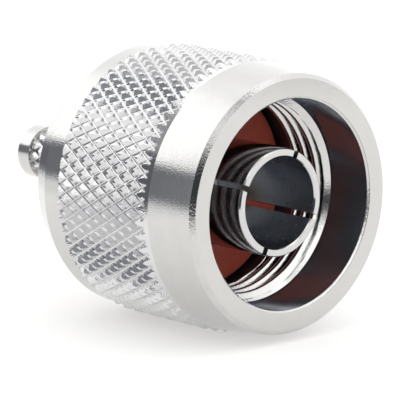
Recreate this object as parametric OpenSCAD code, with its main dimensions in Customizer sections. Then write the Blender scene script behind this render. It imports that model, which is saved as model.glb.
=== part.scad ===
// N type plug (male) cable connector with a crimp tail for thin coaxial cable.
// A knurled coupling nut turns freely on a turned shell. The shell carries the
// slotted outer contact, the gasket, the insulators, the centre contact and the
// crimp stem.
// Frame: +X is the mating direction and the axis of every turned part.
// The origin is on the axis at the rim of the outer contact.
// Millimetres.

/* [Coupling nut] */
// Outside radius of the nut over the knurl's crests
nut_r = 10.45; // [10.3:0.05:10.8]
// How far the nut's front face stands ahead of the contact's rim
nut_front = 1.15; // [0.8:0.05:1.4]
// Length of the nut along the axis
nut_len = 18.7; // [18.2:0.05:19.5]
// Length of the smooth collar at the front
collar_len = 4.43; // [4:0.01:4.8]
// Radius of the collar behind its front chamfer
collar_front_r = 9.80; // [9.6:0.05:9.9]
// Radius of the collar where it meets the knurl
collar_rear_r = 10.2; // [9.95:0.05:10.25]
// Size of the 45 degree chamfer round the front face
front_chamfer = 0.33; // [0.2:0.01:0.5]
// Length of the knurled band
knurl_len = 10.34; // [9.5:0.01:10.6]
// Length of the smooth band behind the knurl
rear_band_len = 1.65; // [1.2:0.05:2]
// Radius of the smooth band behind the knurl
rear_band_r = 10.13; // [10.0:0.01:10.25]
// Radius at the end of the rear slope
rear_edge_r = 9.0; // [8.7:0.05:9.5]

/* [Mouth and thread] */
// Radius of the smooth counterbore at the mouth
mouth_r = 7.96; // [7.95:0.01:8.1]
// Depth of the counterbore from the front face
mouth_depth = 4.10; // [3.6:0.01:4.3]
// Minor radius of the 5/8-24 internal thread (its crests)
thread_minor_r = 7.37; // [7.37:0.01:7.49]
// Length of the threaded band
thread_len = 3.36; // [3:0.01:4]
// Radius of the plain relief behind the thread
relief_r = 8.15; // [8.05:0.01:8.3]

/* [Shell and tail] */
// Radius of the shell's flange, small enough to pass the nut's thread
flange_r = 7.30; // [7.1:0.01:7.34]
// Radius of the shell where the nut turns on it
journal_r = 6.20; // [6.1:0.01:6.22]
// Running clearance on the radius between shell and nut
running_gap = 0.08; // [0.03:0.01:0.1]
// Radius of the plain hub behind the nut
hub_r = 5.2; // [4.8:0.05:5.3]
// Radius of the crimp stem's knurled neck
stem_neck_r = 1.85; // [1.75:0.01:1.9]
// Radius of the smooth ring at the stem's end
stem_ring_r = 2.13; // [2.08:0.01:2.25]
// Length of the smooth ring at the stem's end
stem_ring_len = 1.45; // [1:0.05:1.8]
// Radius of the hole through the stem, for the cable's core
stem_bore_r = 1.525; // [1.4:0.005:1.6]
// Distance from the contact's rim to the tail's end
tail_end = 28.6; // [27.5:0.1:29.5]

/* [Contacts and gasket] */
// Outside radius of the slotted outer contact
sleeve_r = 4.10; // [4.06:0.005:4.14]
// Inside radius of the slotted outer contact
sleeve_bore_r = 3.47; // [3.42:0.01:3.55]
// Width of each slot
slot_w = 0.42; // [0.3:0.02:0.5]
// Length of each slot from the rim
slot_len = 8.0; // [7:0.1:8.4]
// Number of slots
slot_n = 4; // [4, 6, 8]
// Turn of the first slot from +Z towards +Y, in degrees
slot_turn = 23.8; // [0:0.1:45]
// Thickness of the gasket
gasket_t = 1.05; // [0.8:0.05:1.2]
// Outside radius of the gasket
gasket_r = 7.85; // [7.6:0.05:7.95]
// Inside radius of the gasket
gasket_bore_r = 4.70; // [4.68:0.02:5.0]
// Radius of the centre contact's barrel
contact_r = 1.2; // [1.1:0.05:1.3]

/* [Hidden] */
$fn = 128;
e = 0.01;
nut_back = nut_front - nut_len;
knurl_front = nut_front - collar_len;
knurl_back = knurl_front - knurl_len;
band_back = knurl_back - rear_band_len;
lead_in = 0.44;                 // length of the cone ahead of the thread
thread_front = nut_front - mouth_depth - lead_in;
thread_back = thread_front - thread_len;
seat_x = -9.6;                  // front face of the shell's flange
flange_back = seat_x - 1.3;
relief_back = flange_back - 0.15;
nut_bore_r = journal_r + running_gap;
ring_front = -13.1;             // retaining ring
ring_back = -14.0;
ring_in_r = 5.70;
ring_out_r = 6.75;
ring_groove_r = 5.15;           // deep enough for the ring to close through the nut
journal_back = nut_back - 0.6;
hub_back = -20.6;
collar_r = 4.95;                // the outer contact's pressed collar
collar_back = -12.5;
ins_r = 4.5;                    // rear insulator
ins_back = -17.5;
stem_plug_r = 2.6;              // pressed end of the crimp stem
stem_ring_front = -tail_end + stem_ring_len;
contact_front = -11.1;           // recessed in the front insulator
insulator_front = -10.8;
contact_back = -17.4;

// A solid turned about +X. Each point is [x, radius].
module turned(pts) {
    rotate([0, 90, 0]) rotate_extrude() polygon([for (p = pts) [p[1], p[0]]]);
}
// A plain ring about +X between two stations.
module ring_x(x0, x1, r_out, r_in) {
    translate([x0, 0, 0]) rotate([0, 90, 0]) difference() {
        cylinder(h = x1 - x0, r = r_out);
        translate([0, 0, -e]) cylinder(h = x1 - x0 + 2 * e, r = r_in);
    }
}
// A straight hole about +X between two stations.
module hole_x(x0, x1, r) {
    translate([x0, 0, 0]) rotate([0, 90, 0]) cylinder(h = x1 - x0, r = r);
}

// Nut: collar with a slight taper, knurled band, smooth rear band with a
// slope behind it, counterbored mouth, threaded band, relief, running bore and
// ring groove. The fine thread is left as its crest cylinder, and the knurl as
// its crest cylinder between two run-out chamfers.
module coupling_nut() {
    color([0.80, 0.79, 0.77]) turned([
        [nut_front, mouth_r + 0.16],
        [nut_front, collar_front_r - front_chamfer],
        [nut_front - front_chamfer, collar_front_r],
        [knurl_front, collar_rear_r],
        [knurl_front - 0.2, nut_r],
        [knurl_back + 0.2, nut_r],
        [knurl_back, rear_band_r],
        [band_back, rear_band_r],
        [nut_back + 0.1, rear_edge_r],
        [nut_back, rear_edge_r - 0.15],
        [nut_back, nut_bore_r + 0.25],
        [nut_back + 0.25, nut_bore_r],
        [ring_back - 0.1, nut_bore_r],
        [ring_back - 0.1, ring_out_r + 0.2],
        [ring_front + 0.1, ring_out_r + 0.2],
        [ring_front + 0.1, nut_bore_r],
        [relief_back, nut_bore_r],
        [relief_back, relief_r],
        [thread_back - 0.35, relief_r],
        [thread_back, thread_minor_r],
        [thread_front, thread_minor_r],
        [nut_front - mouth_depth, mouth_r],
        [nut_front - 0.16, mouth_r]
    ]);
}

// Shell: front flange behind the gasket, journal that the nut turns on,
// groove for the retaining ring, rear shoulder and hub, stepped bore.
module shell() {
    color([0.80, 0.79, 0.77]) turned([
        [seat_x, collar_r],
        [seat_x, flange_r - 0.15],
        [seat_x - 0.15, flange_r],
        [flange_back, flange_r],
        [flange_back, journal_r],
        [ring_front + 0.05, journal_r],
        [ring_front + 0.05, ring_groove_r],
        [ring_back - 0.05, ring_groove_r],
        [ring_back - 0.05, journal_r],
        [journal_back, journal_r],
        [journal_back - 0.4, journal_r - 0.4],
        [journal_back - 0.4, hub_r],
        [hub_back + 0.35, hub_r],
        [hub_back, hub_r - 0.35],
        [hub_back, stem_plug_r],
        [ins_back, stem_plug_r],
        [ins_back, ins_r],
        [collar_back, ins_r],
        [collar_back, collar_r]
    ]);
}

// Split spring ring that holds the nut on the shell.
module retaining_ring() {
    color([0.62, 0.60, 0.56]) difference() {
        ring_x(ring_back, ring_front, ring_out_r, ring_in_r);
        translate([ring_back - 1, -1, 0]) cube([3, 2, 10]);
    }
}

// Flat silicone gasket against the shell's flange.
module gasket() {
    color([0.62, 0.20, 0.14]) turned([
        [seat_x, gasket_bore_r],
        [seat_x, gasket_r],
        [seat_x + gasket_t - 0.12, gasket_r],
        [seat_x + gasket_t, gasket_r - 0.12],
        [seat_x + gasket_t, gasket_bore_r + 0.1],
        [seat_x + gasket_t - 0.1, gasket_bore_r]
    ]);
}

// Slotted outer contact: four spring fingers on a collar pressed in the shell.
module outer_contact() {
    color([0.84, 0.83, 0.81]) difference() {
        turned([
            [0, sleeve_bore_r + 0.12],
            [0, sleeve_r - 0.12],
            [-0.12, sleeve_r],
            [seat_x, sleeve_r],
            [seat_x, collar_r],
            [collar_back, collar_r],
            [collar_back, sleeve_bore_r],
            [-0.12, sleeve_bore_r]
        ]);
        for (k = [0 : slot_n / 2 - 1])
            rotate([-(slot_turn + k * 360 / slot_n), 0, 0])
                translate([-slot_len, -slot_w / 2, -sleeve_r - 1])
                    cube([slot_len + 1, slot_w, 2 * sleeve_r + 2]);
    }
}

// Insulator at the root of the outer contact.
module front_insulator() {
    color([0.93, 0.93, 0.90]) turned([
        [insulator_front, contact_r],
        [insulator_front, sleeve_bore_r - 0.15],
        [insulator_front - 0.15, sleeve_bore_r],
        [collar_back, sleeve_bore_r],
        [collar_back, contact_r]
    ]);
}

// Centre contact: slotted socket recessed in the front insulator, captive
// shoulder and solder cup.
module centre_contact() {
    color([0.85, 0.70, 0.38]) difference() {
        turned([
            [contact_front, 0],
            [contact_front, contact_r - 0.15],
            [contact_front - 0.15, contact_r],
            [collar_back, contact_r],
            [collar_back, 1.9],
            [collar_back - 0.8, 1.9],
            [collar_back - 0.8, contact_r],
            [contact_back, contact_r],
            [contact_back, 0]
        ]);
        hole_x(contact_front - 2.6, contact_front + 1, 0.82);
        hole_x(contact_back - 1, contact_back + 3.0, 0.55);
        for (k = [0, 1]) rotate([45 + 90 * k, 0, 0])
            translate([contact_front - 1.2, -0.125, -2])
                cube([2.2, 0.25, 4]);
    }
}

// Insulator behind the shoulder of the centre contact.
module rear_insulator() {
    color([0.93, 0.93, 0.90]) turned([
        [collar_back, 1.92],
        [collar_back, ins_r],
        [ins_back, ins_r],
        [ins_back, contact_r],
        [collar_back - 0.82, contact_r],
        [collar_back - 0.82, 1.92]
    ]);
}

// Crimp stem: plug end pressed in the hub, root shoulder, knurled neck drawn
// as its crest cylinder, smooth end ring, bore for the cable's core.
module crimp_stem() {
    color([0.80, 0.79, 0.77]) turned([
        [ins_back, stem_bore_r],
        [ins_back, stem_plug_r],
        [hub_back, stem_plug_r],
        [hub_back, 2.9],
        [hub_back - 0.5, 2.9],
        [hub_back - 0.9, stem_neck_r],
        [stem_ring_front + 0.1, stem_neck_r],
        [stem_ring_front, stem_ring_r],
        [-tail_end + 0.2, stem_ring_r],
        [-tail_end, stem_ring_r - 0.2],
        [-tail_end, stem_bore_r]
    ]);
}

coupling_nut();
shell();
retaining_ring();
gasket();
outer_contact();
front_insulator();
centre_contact();
rear_insulator();
crimp_stem();
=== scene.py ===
# N type plug connector: looks, light and camera on the fixed frame.
import math

import bmesh
import bpy
import numpy as np
from mathutils import Matrix, Vector


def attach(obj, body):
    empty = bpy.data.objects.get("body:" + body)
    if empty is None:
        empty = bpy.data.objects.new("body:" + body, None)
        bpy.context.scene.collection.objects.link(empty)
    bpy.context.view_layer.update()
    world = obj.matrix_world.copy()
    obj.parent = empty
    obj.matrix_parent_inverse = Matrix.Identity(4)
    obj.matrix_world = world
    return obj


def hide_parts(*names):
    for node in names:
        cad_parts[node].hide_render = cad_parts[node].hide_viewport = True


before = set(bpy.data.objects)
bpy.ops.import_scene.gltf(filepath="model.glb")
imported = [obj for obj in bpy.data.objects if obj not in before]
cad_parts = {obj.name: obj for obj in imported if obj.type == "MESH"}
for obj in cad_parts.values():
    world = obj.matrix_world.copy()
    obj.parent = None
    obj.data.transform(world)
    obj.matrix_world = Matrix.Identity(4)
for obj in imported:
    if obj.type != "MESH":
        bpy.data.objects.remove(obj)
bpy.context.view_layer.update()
MM = 0.001
PI = math.pi
scene = bpy.context.scene


# ---------------------------------------------------------------- helpers
def rounded(pts, n=4, support=0.02):
    """Closed profile [(x, r, fillet)] to points with arcs, each arc between two support points."""
    out = []
    m = len(pts)
    for i in range(m):
        x, r, f = pts[i]
        p = Vector((x, r))
        a = Vector(pts[i - 1][:2]) - p
        b = Vector(pts[(i + 1) % m][:2]) - p
        la, lb = a.length, b.length
        a.normalize()
        b.normalize()
        ang = a.angle(b)
        if f <= 0 or ang > PI - 1e-3:
            out.append((x, r))
            continue
        t = min(f / math.tan(ang / 2), 0.45 * la, 0.45 * lb)
        f = t * math.tan(ang / 2)
        c = p + (a + b).normalized() * (f / math.sin(ang / 2))
        p0, p1 = p + a * t, p + b * t
        if la - t > 3 * support:
            out.append(tuple(p + a * (t + support)))
        v0, v1 = p0 - c, p1 - c
        turn = v0.angle_signed(v1) if v0.length > 1e-9 else 0.0
        for k in range(n + 1):
            u = -turn * k / n
            q = Vector(
                (
                    v0.x * math.cos(u) - v0.y * math.sin(u),
                    v0.x * math.sin(u) + v0.y * math.cos(u),
                )
            )
            out.append(tuple(c + q))
        if lb - t > 3 * support:
            out.append(tuple(p + b * (t + support)))
    return out


def grid_faces(rows, cols, wrap_r, wrap_c):
    """Quads of a rows by cols vertex grid."""
    f = []
    for i in range(rows if wrap_r else rows - 1):
        a = (i % rows) * cols
        b = ((i + 1) % rows) * cols
        for j in range(cols if wrap_c else cols - 1):
            k = (j + 1) % cols
            f.append((a + j, a + k, b + k, b + j))
    return f


def make(name, verts, faces, mat, sharp=None, smooth=True):
    """Mesh object from millimetre vertices."""
    me = bpy.data.meshes.new(name)
    me.from_pydata([(v[0] * MM, v[1] * MM, v[2] * MM) for v in verts], [], faces)
    me.validate()
    bm = bmesh.new()
    bm.from_mesh(me)
    bmesh.ops.remove_doubles(bm, verts=bm.verts, dist=2e-8)
    bmesh.ops.recalc_face_normals(bm, faces=bm.faces)
    bm.to_mesh(me)
    bm.free()
    me.polygons.foreach_set("use_smooth", [smooth] * len(me.polygons))
    if sharp:
        me.set_sharp_from_angle(angle=math.radians(sharp))
    ob = bpy.data.objects.new(name, me)
    scene.collection.objects.link(ob)
    me.materials.append(mat)
    return ob


def lathe(name, profile, mat, seg=160, radius=None, sharp=None):
    """Closed profile [(x, r)] turned about +X. radius(x, r, angle) may change r."""
    verts = []
    for x, r in profile:
        for j in range(seg):
            t = 2 * PI * j / seg
            q = radius(x, r, t) if radius else r
            verts.append((x, q * math.sin(t), q * math.cos(t)))
    return make(name, verts, grid_faces(len(profile), seg, True, True), mat, sharp)


def sector(profile, t0, t1, half_gap, seg):
    """Closed solid between two angles, with its end walls parallel to the gaps' middle planes."""
    verts, m = [], len(profile)
    for j in range(seg + 1):
        for x, r in profile:
            g = math.asin(min(0.99, half_gap / r))
            t = (t0 + g) + (t1 - t0 - 2 * g) * j / seg
            verts.append((x, r * math.sin(t), r * math.cos(t)))
    faces = []
    for j in range(seg):
        for i in range(m):
            k = (i + 1) % m
            faces.append((j * m + i, j * m + k, (j + 1) * m + k, (j + 1) * m + i))
    faces.append(tuple(range(m)))
    faces.append(tuple(seg * m + i for i in reversed(range(m))))
    return verts, faces


def joined(parts):
    verts, faces = [], []
    for v, f in parts:
        o = len(verts)
        verts += v
        faces += [tuple(o + i for i in q) for q in f]
    return verts, faces


# ---------------------------------------------------------------- materials
class Nodes:
    def __init__(self, name):
        self.m = bpy.data.materials.new(name)
        self.m.use_nodes = True
        self.t = self.m.node_tree
        self.b = self.t.nodes["Principled BSDF"]

    def n(self, kind, **kw):
        x = self.t.nodes.new(kind)
        for k, v in kw.items():
            if k.startswith("i_"):
                x.inputs[k[2:].replace("_", " ")].default_value = v
            else:
                setattr(x, k, v)
        return x

    def link(self, a, b):
        self.t.links.new(a, b)


def place(s):
    """Object coordinates in millimetres."""
    c = s.n("ShaderNodeTexCoord")
    v = s.n("ShaderNodeVectorMath", operation="SCALE")
    v.inputs["Scale"].default_value = 1000.0
    s.link(c.outputs["Object"], v.inputs[0])
    return v.outputs[0]


def ring_coords(s, mm):
    """(x, radius) in millimetres, so a texture of it runs round the axis."""
    sep = s.n("ShaderNodeSeparateXYZ")
    s.link(mm, sep.inputs[0])
    yy = s.n("ShaderNodeMath", operation="MULTIPLY")
    s.link(sep.outputs[1], yy.inputs[0])
    s.link(sep.outputs[1], yy.inputs[1])
    zz = s.n("ShaderNodeMath", operation="MULTIPLY_ADD")
    s.link(sep.outputs[2], zz.inputs[0])
    s.link(sep.outputs[2], zz.inputs[1])
    s.link(yy.outputs[0], zz.inputs[2])
    rt = s.n("ShaderNodeMath", operation="SQRT")
    s.link(zz.outputs[0], rt.inputs[0])
    c = s.n("ShaderNodeCombineXYZ")
    s.link(sep.outputs[0], c.inputs[0])
    s.link(rt.outputs[0], c.inputs[1])
    return c.outputs[0]


def metal(name, tint, tint2, rough, speck=0.5, turned=0.4, grain=9.0, peel_um=9.0):
    """Plated turned metal: cloudy tint, uneven roughness, orange peel and faint turning lines."""
    s = Nodes(name)
    mm = place(s)
    cloud = s.n("ShaderNodeTexNoise", i_Scale=0.9, i_Detail=4.0, i_Roughness=0.6)
    s.link(mm, cloud.inputs["Vector"])
    ramp = s.n("ShaderNodeValToRGB")
    ramp.color_ramp.elements[0].position = 0.35
    ramp.color_ramp.elements[0].color = (*tint2, 1)
    ramp.color_ramp.elements[1].position = 0.65
    ramp.color_ramp.elements[1].color = (*tint, 1)
    s.link(cloud.outputs["Fac"], ramp.inputs[0])
    s.link(ramp.outputs[0], s.b.inputs["Base Color"])
    s.b.inputs["Metallic"].default_value = 1.0
    rr = s.n("ShaderNodeMapRange")
    rr.inputs["To Min"].default_value = rough * 0.7
    rr.inputs["To Max"].default_value = rough * 1.4
    fine = s.n("ShaderNodeTexNoise", i_Scale=3.1, i_Detail=6.0, i_Roughness=0.7)
    s.link(mm, fine.inputs["Vector"])
    s.link(fine.outputs["Fac"], rr.inputs["Value"])
    s.link(rr.outputs[0], s.b.inputs["Roughness"])
    peel = s.n("ShaderNodeTexNoise", i_Scale=grain, i_Detail=3.0, i_Roughness=0.55)
    s.link(mm, peel.inputs["Vector"])
    b1 = s.n("ShaderNodeBump")
    b1.inputs["Strength"].default_value = speck
    b1.inputs["Distance"].default_value = peel_um * 1e-6
    s.link(peel.outputs["Fac"], b1.inputs["Height"])
    ringc = ring_coords(s, mm)
    lines = s.n("ShaderNodeTexNoise", i_Scale=14.0, i_Detail=2.0)
    s.link(ringc, lines.inputs["Vector"])
    b2 = s.n("ShaderNodeBump")
    b2.inputs["Strength"].default_value = turned
    b2.inputs["Distance"].default_value = 0.000002
    s.link(lines.outputs["Fac"], b2.inputs["Height"])
    s.link(b1.outputs[0], b2.inputs["Normal"])
    s.link(b2.outputs[0], s.b.inputs["Normal"])
    return s.m


def soft(name, tint, tint2, rough, scale, bump, spec=0.5):
    """Rubber or waxy plastic with a fine skin."""
    s = Nodes(name)
    mm = place(s)
    cloud = s.n("ShaderNodeTexNoise", i_Scale=scale, i_Detail=5.0, i_Roughness=0.6)
    s.link(mm, cloud.inputs["Vector"])
    ramp = s.n("ShaderNodeValToRGB")
    ramp.color_ramp.elements[0].position = 0.3
    ramp.color_ramp.elements[0].color = (*tint2, 1)
    ramp.color_ramp.elements[1].position = 0.7
    ramp.color_ramp.elements[1].color = (*tint, 1)
    s.link(cloud.outputs["Fac"], ramp.inputs[0])
    s.link(ramp.outputs[0], s.b.inputs["Base Color"])
    rr = s.n("ShaderNodeMapRange")
    rr.inputs["To Min"].default_value = rough * 0.85
    rr.inputs["To Max"].default_value = rough * 1.15
    s.link(cloud.outputs["Fac"], rr.inputs["Value"])
    s.link(rr.outputs[0], s.b.inputs["Roughness"])
    s.b.inputs["Specular IOR Level"].default_value = spec
    skin = s.n("ShaderNodeTexNoise", i_Scale=scale * 6, i_Detail=3.0)
    s.link(mm, skin.inputs["Vector"])
    b = s.n("ShaderNodeBump")
    b.inputs["Strength"].default_value = bump
    b.inputs["Distance"].default_value = 0.00001
    s.link(skin.outputs["Fac"], b.inputs["Height"])
    s.link(b.outputs[0], s.b.inputs["Normal"])
    return s.m


NICKEL = metal("nickel_plate", (0.595, 0.590, 0.578), (0.570, 0.566, 0.556), 0.05, speck=1.0)
FACE = metal("nickel_face", (0.590, 0.583, 0.566), (0.575, 0.568, 0.552), 0.09, speck=0.35, turned=0.25)
EDGE = metal("nickel_edge", (0.595, 0.590, 0.580), (0.560, 0.556, 0.550), 0.07, speck=1.0, turned=0.0, grain=6.0, peel_um=26.0)
# nickel_bore_painted_shade: darker, bluish nickel for the mouth's wall in front of the thread; its dark blue tint is
# painted shade and a painted bluish reflection
MOUTH_BORE_SHADE = metal("nickel_bore_painted_shade", (0.37, 0.405, 0.46), (0.35, 0.38, 0.43), 0.13, speck=0.6)
# nickel_relief_painted_shade: dark, rough nickel in the thread relief; its dark colour is painted shade of the deep
# recess
RELIEF_SHADE = metal("nickel_relief_painted_shade", (0.20, 0.19, 0.215), (0.16, 0.155, 0.175), 0.5)
KNURL = metal("nickel_knurl", (0.670, 0.670, 0.672), (0.630, 0.630, 0.636), 0.11, speck=1.0, turned=0.0, grain=7.0, peel_um=12.0)
MOUTH_BORE_SHADE.node_tree.nodes["Principled BSDF"].inputs["Metallic"].default_value = 0.94
CONTACT = metal("contact_plate", (0.60, 0.596, 0.588), (0.575, 0.571, 0.563), 0.06)
# contact_bore_painted_shade: darker, bluish plating inside the outer contact and on its fingers' cut ends; the dark
# tint is painted shade inside the contact and its slots
CONTACT_BORE_SHADE = metal("contact_bore_painted_shade", (0.42, 0.44, 0.49), (0.38, 0.40, 0.45), 0.24, speck=0.08)
# contact_side_painted_shade: darker plating on the fingers' outside, within the nut's mouth; the darker colour is
# painted shade, a painted reflection of the nut's shaded inside
CONTACT_SIDE_SHADE = metal("contact_side_painted_shade", (0.45, 0.44, 0.465), (0.41, 0.405, 0.43), 0.07, speck=0.3)
BRONZE = metal("spring_bronze", (0.50, 0.46, 0.40), (0.44, 0.40, 0.35), 0.22)
GOLD = metal("gold_plate", (0.83, 0.58, 0.24), (0.78, 0.54, 0.22), 0.12)
SILICONE = soft("silicone_rubber", (0.43, 0.080, 0.050), (0.37, 0.066, 0.042), 0.42, 1.6, 0.25)
PTFE = soft("ptfe", (0.86, 0.86, 0.83), (0.80, 0.80, 0.77), 0.38, 1.2, 0.15)

# ---------------------------------------------------------------- sizes (mm)
NUT_R = 10.45
FRONT = 1.15
BACK = -17.55
K0 = -13.62  # knurl, rear end
K1 = -3.28  # knurl, front end
BAND = -15.27  # rear end of the smooth band behind the knurl
PITCH = 25.4 / 24


# ---------------------------------------------------------------- coupling nut
def thread_depth(x, t):
    """How far the thread is cut below its crests at station x and angle t: a narrow round crest, steep flanks and a round root."""
    u = ((x + 3.3) / PITCH - t / (2 * PI)) % 1.0
    d = abs(u - 0.5) * 2
    if d < 0.72:
        return 0.57 * (0.5 + 0.5 * math.cos(PI * d / 0.80)) ** 0.8
    return 0.57 * (0.5 + 0.5 * math.cos(PI * 0.9)) ** 0.8 * (1 - (d - 0.72) / 0.28) ** 2


def nut_radius(x, r, t):
    """The inside of the mouth, with the helical thread cut between its lead-in cone and its relief."""
    if -7.4 < x < -2.9 and r < 8.3:
        front = 7.37 + max(0.0, (x + 3.39) * 1.35)
        back = 7.37 + max(0.0, (-6.75 - x) * 2.2)
        cut = 7.37 + thread_depth(x, t)
        return min(max(front, back, cut), 7.96 if x > -5 else 8.15)
    return r


inner = []
x = -7.35
while x < -2.97:
    inner.append((x, 7.9))
    x += 0.0275
core = rounded(
    [
        (FRONT, 8.12, 0.03),
        (FRONT, 9.47, 0.04),
        (FRONT - 0.33, 9.80, 0.05),
        (K1, 10.2, 0.0),
        (K1, 9.68, 0.0),
        (K0, 9.68, 0.0),
        (K0, 10.13, 0.04),
        (BAND, 10.13, 0.12),
        (BACK + 0.1, 9.0, 0.1),
        (BACK, 8.85, 0.06),
        (BACK, 6.53, 0.03),
        (BACK + 0.25, 6.28, 0.03),
        (-14.1, 6.28, 0.02),
        (-14.1, 6.95, 0.02),
        (-13.0, 6.95, 0.02),
        (-13.0, 6.28, 0.02),
        (-11.05, 6.28, 0.02),
        (-11.05, 8.15, 0.05),
        (-7.4, 8.15, 0.0),
    ]
)
core += inner
core += rounded(
    [(-2.96, 7.96, 0.0), (FRONT - 0.16, 7.96, 0.04), (FRONT, 8.12, 0.0)]
)[:-1]
# the counterbore's corner comes with the last three points, so its stray first wrap is dropped
core = [p for i, p in enumerate(core) if i == 0 or (Vector(p) - Vector(core[i - 1])).length > 1e-5]
nut = lathe("nut_body", core, NICKEL, seg=192, radius=nut_radius, sharp=35)
for m in (FACE, EDGE, MOUTH_BORE_SHADE, RELIEF_SHADE):
    nut.data.materials.append(m)
for poly in nut.data.polygons:
    x, y, z = (c / MM for c in poly.center)
    r = math.hypot(y, z)
    if x > FRONT - 0.02 and 8.15 < r < 9.45:
        poly.material_index = 1
    elif (x > FRONT - 0.35 and r > 9.4) or (x > FRONT - 0.18 and r < 8.15):
        poly.material_index = 2
    # the mouth's wall in front of the thread gets the darker bore nickel: painted shade
    elif x > -2.93 and r < 8.05:
        poly.material_index = 3
    # the thread relief gets the dark relief nickel: painted shade
    elif -11.2 < x < -6.95 and 7.7 < r < 8.3:
        poly.material_index = 4


def knurl_sleeve(name, x0, x1, crest, starts, axial, slope, vee, flat, cut_front, cut_back, floor, mat, steps, front_planes=0, back_planes=0, front_run=1.0):
    """Raised diamonds on a sleeve from x0 to x1: rolled V grooves at both hands, rounded at their roots, with the ends turned down."""
    C = 2 * PI * crest / starts
    A = axial
    W = A * C / 2 / math.hypot(A / 2, C / 2)
    ta = math.tan(math.radians(slope))

    def rise(d):
        return d * d * ta / (2 * vee) if d < vee else (d - vee / 2) * ta

    top = rise(W / 2) - flat * ta
    n = len(steps)
    bm = bmesh.new()
    seen = {}

    def vert(i, j, s, t):
        a = (i + s + j + t) * A / 2 + x1
        c = (i + s - j - t) * C / 2
        key = (round(a * 1e5), round(c * 1e5))
        if key not in seen:
            seen[key] = bm.verts.new((a, c, 0))
        return seen[key]

    ticks = list(steps) + [1 - q for q in reversed(steps[:-1])]
    kk = len(ticks) - 1
    lo = int(math.floor(2 * (x0 - x1) / A)) - 2
    for ij in range(lo, 1):  # i + j
        for dj in range(-1, 2 * starts + 2):  # i - j
            if (ij + dj) % 2:
                continue
            i, j = (ij + dj) // 2, (ij - dj) // 2
            mid = dj * C / 2
            if not (-1e-9 <= mid < starts * C - 1e-9):
                continue
            a_left = ij * A / 2 + x1
            if a_left + A <= x0 or a_left >= x1:
                continue
            for p in range(kk):
                for q in range(kk):
                    s0, s1, t0, t1 = ticks[p], ticks[p + 1], ticks[q], ticks[q + 1]
                    v = [vert(i, j, s0, t0), vert(i, j, s1, t0), vert(i, j, s1, t1), vert(i, j, s0, t1)]
                    if (s0 + s1 < 1) == (t0 + t1 < 1):
                        tris = ((0, 1, 2), (0, 2, 3))
                    else:
                        tris = ((0, 1, 3), (1, 2, 3))
                    for tr in tris:
                        try:
                            bm.faces.new([v[w] for w in tr])
                        except ValueError:
                            pass

    def cut(x, keep):
        geom = bm.verts[:] + bm.edges[:] + bm.faces[:]
        bmesh.ops.bisect_plane(
            bm, geom=geom, dist=1e-5, plane_co=(x, 0, 0), plane_no=(1, 0, 0),
            clear_outer=keep == "low", clear_inner=keep == "high",
        )

    cut(x1, "low")
    cut(x0, "high")
    for k in range(1, front_planes):
        cut(x1 - 0.05 * k, None)
    for k in range(1, back_planes):
        cut(x0 + 0.06 * k, None)
    rng = np.random.default_rng(7)
    jit = rng.normal(0, 1, (400, 400))
    for v in bm.verts:
        a, c = v.co.x, v.co.y
        s, t = (a - x1) / A + c / C, (a - x1) / A - c / C
        ds, dt = abs(s - round(s)) * W, abs(t - round(t)) * W
        k1 = jit[int(math.floor(s)) % starts, int(math.floor(t)) % starts]
        h = min(rise(ds), rise(dt)) * (1 + 0.03 * k1)
        r = crest - top + min(h, top * (1 + 0.012 * k1))
        if cut_front:
            r = min(r, crest - cut_front + (x1 - a) * front_run)
        if cut_back:
            r = min(r, crest - cut_back + (a - x0))
        ang = c / crest
        v.co = (a, r * math.sin(ang), r * math.cos(ang))
    bmesh.ops.remove_doubles(bm, verts=bm.verts, dist=2e-5)
    for x in (x0, x1):
        loop = [e for e in bm.edges if e.is_boundary and all(abs(w.co.x - x) < 1e-4 for w in e.verts)]
        new = bmesh.ops.extrude_edge_only(bm, edges=loop)["geom"]
        for w in new:
            if isinstance(w, bmesh.types.BMVert):
                rr = math.hypot(w.co.y, w.co.z)
                w.co.y *= floor / rr
                w.co.z *= floor / rr
    rest = [e for e in bm.edges if e.is_boundary]
    bmesh.ops.bridge_loops(bm, edges=rest)
    bmesh.ops.triangulate(bm, faces=[f for f in bm.faces if len(f.verts) > 3])
    bmesh.ops.scale(bm, vec=(MM, MM, MM), verts=bm.verts)
    bmesh.ops.recalc_face_normals(bm, faces=bm.faces)
    me = bpy.data.meshes.new(name)
    bm.to_mesh(me)
    bm.free()
    me.polygons.foreach_set("use_smooth", [True] * len(me.polygons))
    me.set_sharp_from_angle(angle=math.radians(22))
    me.materials.append(mat)
    ob = bpy.data.objects.new(name, me)
    scene.collection.objects.link(ob)
    return ob


knurl = knurl_sleeve(
    "nut_knurl", K0, K1, NUT_R, 61, 1.896, 50, 0.10, 0.12, 0.68, 0.25, 9.65, KNURL,
    steps=(0, 0.055, 0.11, 0.36, 0.5), front_planes=23, back_planes=4, front_run=0.62,
)

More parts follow.
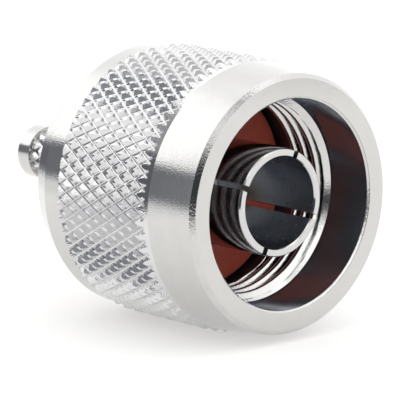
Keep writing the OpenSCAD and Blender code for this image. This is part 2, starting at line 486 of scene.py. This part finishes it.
# ---------------------------------------------------------------- shell, gasket, insulators, contact
shell = lathe(
    "shell_body",
    rounded(
        [
            (-9.6, 4.95, 0.0),
            (-9.6, 7.30, 0.1),
            (-10.9, 7.30, 0.05),
            (-10.9, 6.2, 0.03),
            (-13.05, 6.2, 0.03),
            (-13.05, 5.15, 0.03),
            (-14.05, 5.15, 0.03),
            (-14.05, 6.2, 0.03),
            (-18.15, 6.2, 0.05),
            (-18.55, 5.8, 0.05),
            (-18.55, 5.2, 0.08),
            (-20.25, 5.2, 0.08),
            (-20.6, 4.85, 0.08),
            (-20.6, 2.6, 0.0),
            (-17.5, 2.6, 0.0),
            (-17.5, 4.5, 0.0),
            (-12.5, 4.5, 0.0),
            (-12.5, 4.95, 0.0),
        ]
    ),
    NICKEL,
    seg=128,
    sharp=35,
)
gasket = lathe(
    "gasket_ring",
    rounded(
        [
            (-9.6, 4.70, 0.08),
            (-9.6, 7.85, 0.12),
            (-8.55, 7.85, 0.18),
            (-8.55, 4.70, 0.18),
        ],
        n=5,
    ),
    SILICONE,
    seg=128,
    sharp=50,
)
front_ins = lathe(
    "front_insulator_body",
    rounded([(-10.8, 1.2, 0.05), (-10.8, 3.47, 0.12), (-12.5, 3.47, 0.0), (-12.5, 1.2, 0.0)]),
    PTFE,
    seg=96,
    sharp=50,
)

# outer contact: four fingers and the collar they spring from
TURN = math.radians(23.8)
finger = rounded(
    [
        (0.0, 3.56, 0.05),
        (0.0, 4.0, 0.07),
        (-0.12, 4.10, 0.08),
        (-8.06, 4.10, 0.0),
        (-8.06, 3.47, 0.0),
        (-0.12, 3.47, 0.05),
    ],
    n=3,
    support=0.03,
)
parts = [
    sector(finger, TURN + k * PI / 2, TURN + (k + 1) * PI / 2, 0.21, 30) for k in range(4)
]
fv, ff = joined(parts)
base = rounded(
    [
        (-8.0, 3.47, 0.0),
        (-8.0, 4.10, 0.0),
        (-9.6, 4.10, 0.03),
        (-9.6, 4.95, 0.0),
        (-12.5, 4.95, 0.0),
        (-12.5, 3.47, 0.0),
    ]
)
bv = []
for px, pr in base:
    for j in range(128):
        t = 2 * PI * j / 128
        bv.append((px, pr * math.sin(t), pr * math.cos(t)))
bf = grid_faces(len(base), 128, True, True)
av, af = joined([(fv, ff), (bv, bf)])
sleeve = make("sleeve_contact", av, af, CONTACT, sharp=35)
sleeve.data.materials.append(CONTACT_BORE_SHADE)
sleeve.data.materials.append(CONTACT_SIDE_SHADE)
for poly in sleeve.data.polygons:
    x, y, z = (c / MM for c in poly.center)
    # inside of the contact and the fingers' end walls get the darker bore plating: painted shade
    if (math.hypot(y, z) < 3.52 and x < -0.1) or len(poly.vertices) > 4:
        poly.material_index = 1
    # outside of the fingers within the mouth gets the darker side plating: painted shade
    elif math.hypot(y, z) > 4.05 and -9.5 < x < -0.25:
        poly.material_index = 2
bev = sleeve.modifiers.new("edges", "BEVEL")
bev.width = 0.03 * MM
bev.segments = 2
bev.limit_method = "ANGLE"
bev.angle_limit = math.radians(60)

# crimp stem: plug end, root shoulder, knurled neck, smooth end ring
stem = lathe(
    "crimp_stem_body",
    rounded(
        [
            (-17.5, 1.525, 0.0),
            (-17.5, 2.6, 0.0),
            (-20.6, 2.6, 0.0),
            (-20.6, 2.9, 0.05),
            (-21.1, 2.9, 0.1),
            (-21.5, 1.85, 0.1),
            (-21.8, 1.60, 0.0),
            (-27.15, 1.60, 0.0),
            (-27.15, 2.13, 0.05),
            (-28.45, 2.13, 0.08),
            (-28.6, 1.98, 0.05),
            (-28.6, 1.525, 0.04),
        ]
    ),
    NICKEL,
    seg=96,
    sharp=35,
)
neck = knurl_sleeve(
    "crimp_stem_knurl", -27.2, -21.6, 1.85, 12, 1.55, 34, 0.10, 0.06, 0.12, 0.12, 1.56, KNURL,
    steps=(0, 0.06, 0.12, 0.2, 0.35, 0.5), front_planes=4, back_planes=4,
)

for ob, body, node, sl in (
    (nut, "nut", "coupling_nut", "nickel_plate"),
    (knurl, "nut", None, "nickel_plate"),
    (shell, "body", "shell", "nickel_plate"),
    (gasket, "body", "gasket", "silicone_rubber"),
    (front_ins, "body", "front_insulator", "ptfe"),
    (sleeve, "body", "outer_contact", "contact_plate"),
    (stem, "body", "crimp_stem", "nickel_plate"),
    (neck, "body", None, "nickel_plate"),
):
    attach(ob, body)
    if node:
        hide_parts(node)

for node, mat in (("retaining_ring", BRONZE), ("centre_contact", GOLD), ("rear_insulator", PTFE)):
    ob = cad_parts[node]
    ob.data.materials.clear()
    ob.data.materials.append(mat)


# ---------------------------------------------------------------- stage and light
def stage_mesh(name, verts, faces, mat):
    me = bpy.data.meshes.new(name)
    me.from_pydata([tuple(c * MM for c in v) for v in verts], [], faces)
    ob = bpy.data.objects.new(name, me)
    scene.collection.objects.link(ob)
    me.materials.append(mat)
    return ob


FLOOR_Z = -NUT_R - 0.02


def paper(name):
    """Pale floor paper on a faint light table. Its colour keeps a painted light gradient along the -X, -Y direction,
    now all but even: a hair darker on the -X, -Y side.
    """
    s = Nodes(name)
    c = s.n("ShaderNodeTexCoord")
    d = s.n("ShaderNodeVectorMath", operation="DOT_PRODUCT")
    d.inputs[1].default_value = (-0.713, -0.701, 0.0)
    s.link(c.outputs["Object"], d.inputs[0])
    # painted light gradient on the floor colour, 0.44 to 0.43 towards -X, -Y
    m = s.n("ShaderNodeMapRange", interpolation_type="SMOOTHSTEP")
    m.inputs["From Min"].default_value = 0.004
    m.inputs["From Max"].default_value = 0.030
    m.inputs["To Min"].default_value = 0.44
    m.inputs["To Max"].default_value = 0.43
    s.link(d.outputs["Value"], m.inputs["Value"])
    k = s.n("ShaderNodeCombineColor")
    for i in range(3):
        s.link(m.outputs[0], k.inputs[i])
    s.link(k.outputs[0], s.b.inputs["Base Color"])
    s.b.inputs["Roughness"].default_value = 0.9
    s.b.inputs["Specular IOR Level"].default_value = 0.0
    s.b.inputs["Emission Color"].default_value = (1.0, 0.99, 0.97, 1)
    s.b.inputs["Emission Strength"].default_value = 0.46
    return s.m


floor = stage_mesh(
    "floor",
    [(-3000, -3000, FLOOR_Z), (3000, -3000, FLOOR_Z), (3000, 3000, FLOOR_Z), (-3000, 3000, FLOOR_Z)],
    [(0, 1, 2, 3)],
    paper("floor_paper"),
)

# The light tent: white cloth, open on the camera's side. It is seen only in reflections.
# Directions in degrees: 223 is (-X, -Y), 270 is -Y, 317 is the camera's side.
# Each row: azimuth, lower edge, softness of the lower edge, upper edge, darkness inside, top of the grey above, its grey.
TENT = (
    (160, -4.0, 2, -4.0, 0.30, -4.0, 1.0),
    (170, -5.5, 2, 1.5, 0.18, 1.5, 1.0),
    (178, -5.5, 2, 2.5, 0.16, 2.5, 1.0),
    (205, -2.0, 6, 13.0, 0.24, 13.0, 1.0),
    (223, 0.8, 7, 20.0, 0.24, 20.0, 1.0),
    (240, 0.5, 8, 22.0, 0.21, 22.0, 1.0),
    (252, -3.0, 7, 22.0, 0.42, 62.0, 0.86),
    (262, -5.0, 6, 23.0, 0.35, 66.0, 0.76),
    (275, -7.0, 5, 25.0, 0.21, 72.0, 0.60),
    (300, -8.0, 5, 36.0, 0.08, 66.0, 0.34),
    (317, -6.0, 7, 25.0, 0.06, 33.0, 0.36),
    (330, -7.0, 6, 24.0, 0.06, 34.0, 0.36),
    (337, -7.0, 6, 16.0, 0.07, 30.0, 0.45),
    (343, -7.0, 6, 5.0, 0.09, 5.0, 1.0),
    (352, -6.0, 4, 1.0, 0.12, 1.0, 1.0),
    (362, -4.0, 3, -4.0, 0.12, -4.0, 1.0),
)
# Cards beside the opening, each: azimuths, softness, lower and upper edge, softness, its light.
CARDS = (
    (322, 346, 5, 33, 90, 4, 1.10),
    (347, 375, 5, 36, 62, 4, 0.50),
    (386, 424, 6, -2, 8, 3, 1.00),
    (364, 387, 3, -11, 5, 2, 0.045),
    (165, 250, 6, -11, -3, 2, 1.05),
    (206, 262, 6, 64, 90, 4, 1.12),
)


def step(a, b, x):
    t = min(1.0, max(0.0, (x - a) / (b - a)))
    return t * t * (3 - 2 * t)


def tent_light(az, el):
    """Radiance of the tent in one direction, and how opaque it is there."""
    white = 1.75 - 0.42 * step(195, 165, az) * step(20, 60, az) * step(75, 50, el) - 0.6 * step(60, 68, el) * step(150, 190, az) * step(300, 260, az)
    a = az if az >= 160 else az + 360
    dark = grey = 0.0
    inner = outer = 1.0
    if a <= TENT[-1][0]:
        for p, q in zip(TENT, TENT[1:]):
            if p[0] <= a <= q[0]:
                u = (a - p[0]) / (q[0] - p[0])
                low, soft_, top, inner, high, outer = (p[i] + (q[i] - p[i]) * u for i in range(1, 7))
                break
        if top > low:
            dark = step(low - soft_, low, el) * (1 - step(top - 0.8, top + 0.8, el))
        if high > top:
            grey = step(max(top, 0) - 0.8, max(top, 0) + 0.8, el) * (1 - step(high - 4, high + 4, el))
    out = []
    alpha = max(dark, step(-1.2, 0.2, el))
    for tint, glow in ((0.96, 1.0), (1.0, 1.0), (1.10, 1.02)):
        v = white * (1 - grey) + outer * glow * grey
        v = v * (1 - dark) + inner * tint * dark
        for a0, a1, sa, e0, e1, se, light in CARDS:
            w = step(a0 - sa, a0 + sa, a) * step(a1 + sa, a1 - sa, a) * step(e0 - se, e0 + se, el) * step(e1 + se, e1 - se, el)
            if light < 1 or v > light:
                v += (light - v) * w
            alpha = max(alpha, w)
        out.append(v)
    return out, alpha


def tent(radius=64.0, centre=(-8.0, 0.0, 0.0)):
    azs = [1.5 * j for j in range(240)]
    els = [-9.5 + 0.5 * i for i in range(120)] + [50.5 + 3.0 * i for i in range(14)]
    verts, cols = [], []
    for e in els:
        for a in azs:
            ar, er = math.radians(a), math.radians(e)
            verts.append(
                (
                    centre[0] + radius * math.cos(ar) * math.cos(er),
                    centre[1] + radius * math.sin(ar) * math.cos(er),
                    centre[2] + radius * math.sin(er),
                )
            )
            rgb, alpha = tent_light(a, e)
            cols += [*rgb, alpha]
    s = Nodes("light_tent")
    s.t.nodes.remove(s.b)
    att = s.n("ShaderNodeAttribute", attribute_name="light")
    em = s.n("ShaderNodeEmission")
    s.link(att.outputs["Color"], em.inputs["Color"])
    clear = s.n("ShaderNodeBsdfTransparent")
    mix = s.n("ShaderNodeMixShader")
    s.link(att.outputs["Alpha"], mix.inputs[0])
    s.link(clear.outputs[0], mix.inputs[1])
    s.link(em.outputs[0], mix.inputs[2])
    end = [q for q in s.t.nodes if q.type == "OUTPUT_MATERIAL"][0]
    s.link(mix.outputs[0], end.inputs["Surface"])
    s.m.cycles.emission_sampling = "NONE"
    ob = stage_mesh("light_tent", verts, grid_faces(len(els), len(azs), False, True), s.m)
    layer = ob.data.attributes.new("light", "FLOAT_COLOR", "POINT")
    layer.data.foreach_set("color", cols)
    ob.visible_camera = False
    ob.visible_diffuse = False
    ob.visible_shadow = False
    ob.visible_transmission = False
    return ob


tent()

world = bpy.data.worlds.new("studio")
scene.world = world
world.use_nodes = True
bg = world.node_tree.nodes["Background"]
bg.inputs["Color"].default_value = (1.0, 1.0, 1.0, 1)
bg.inputs["Strength"].default_value = 1.75

# ---------------------------------------------------------------- camera
cam_data = bpy.data.cameras.new("camera")
cam = bpy.data.objects.new("camera", cam_data)
scene.collection.objects.link(cam)
scene.camera = cam
cam_data.sensor_width = 36.0
cam_data.lens = 323.19
cam_data.clip_start = 0.01
cam_data.clip_end = 20.0
F_PX = 3591.0
AZ, EL = math.radians(47.109), math.radians(11.327)
back = Vector((math.sin(AZ) * math.cos(EL), -math.cos(AZ) * math.cos(EL), math.sin(EL)))
rim = Vector((0, 0, 0))
eye = rim + back * 0.26638
want = ((280.674 - 200.0) / F_PX, -(202.914 - 200.0) / F_PX)
yaw, tilt = 0.0, 0.0
for _ in range(12):
    az, el = AZ + yaw, EL + tilt
    bk = Vector((math.sin(az) * math.cos(el), -math.cos(az) * math.cos(el), math.sin(el)))
    rt = Vector((0, 0, 1)).cross(bk).normalized()
    up = bk.cross(rt)
    d = rim - eye
    gx, gy = d.dot(rt) / -d.dot(bk), d.dot(up) / -d.dot(bk)
    yaw += want[0] - gx
    tilt += want[1] - gy
cam.location = eye
cam.rotation_mode = "QUATERNION"
cam.rotation_quaternion = Matrix((rt, up, bk)).transposed().to_quaternion()
scene.view_settings.view_transform = "Standard"
scene.view_settings.look = "None"
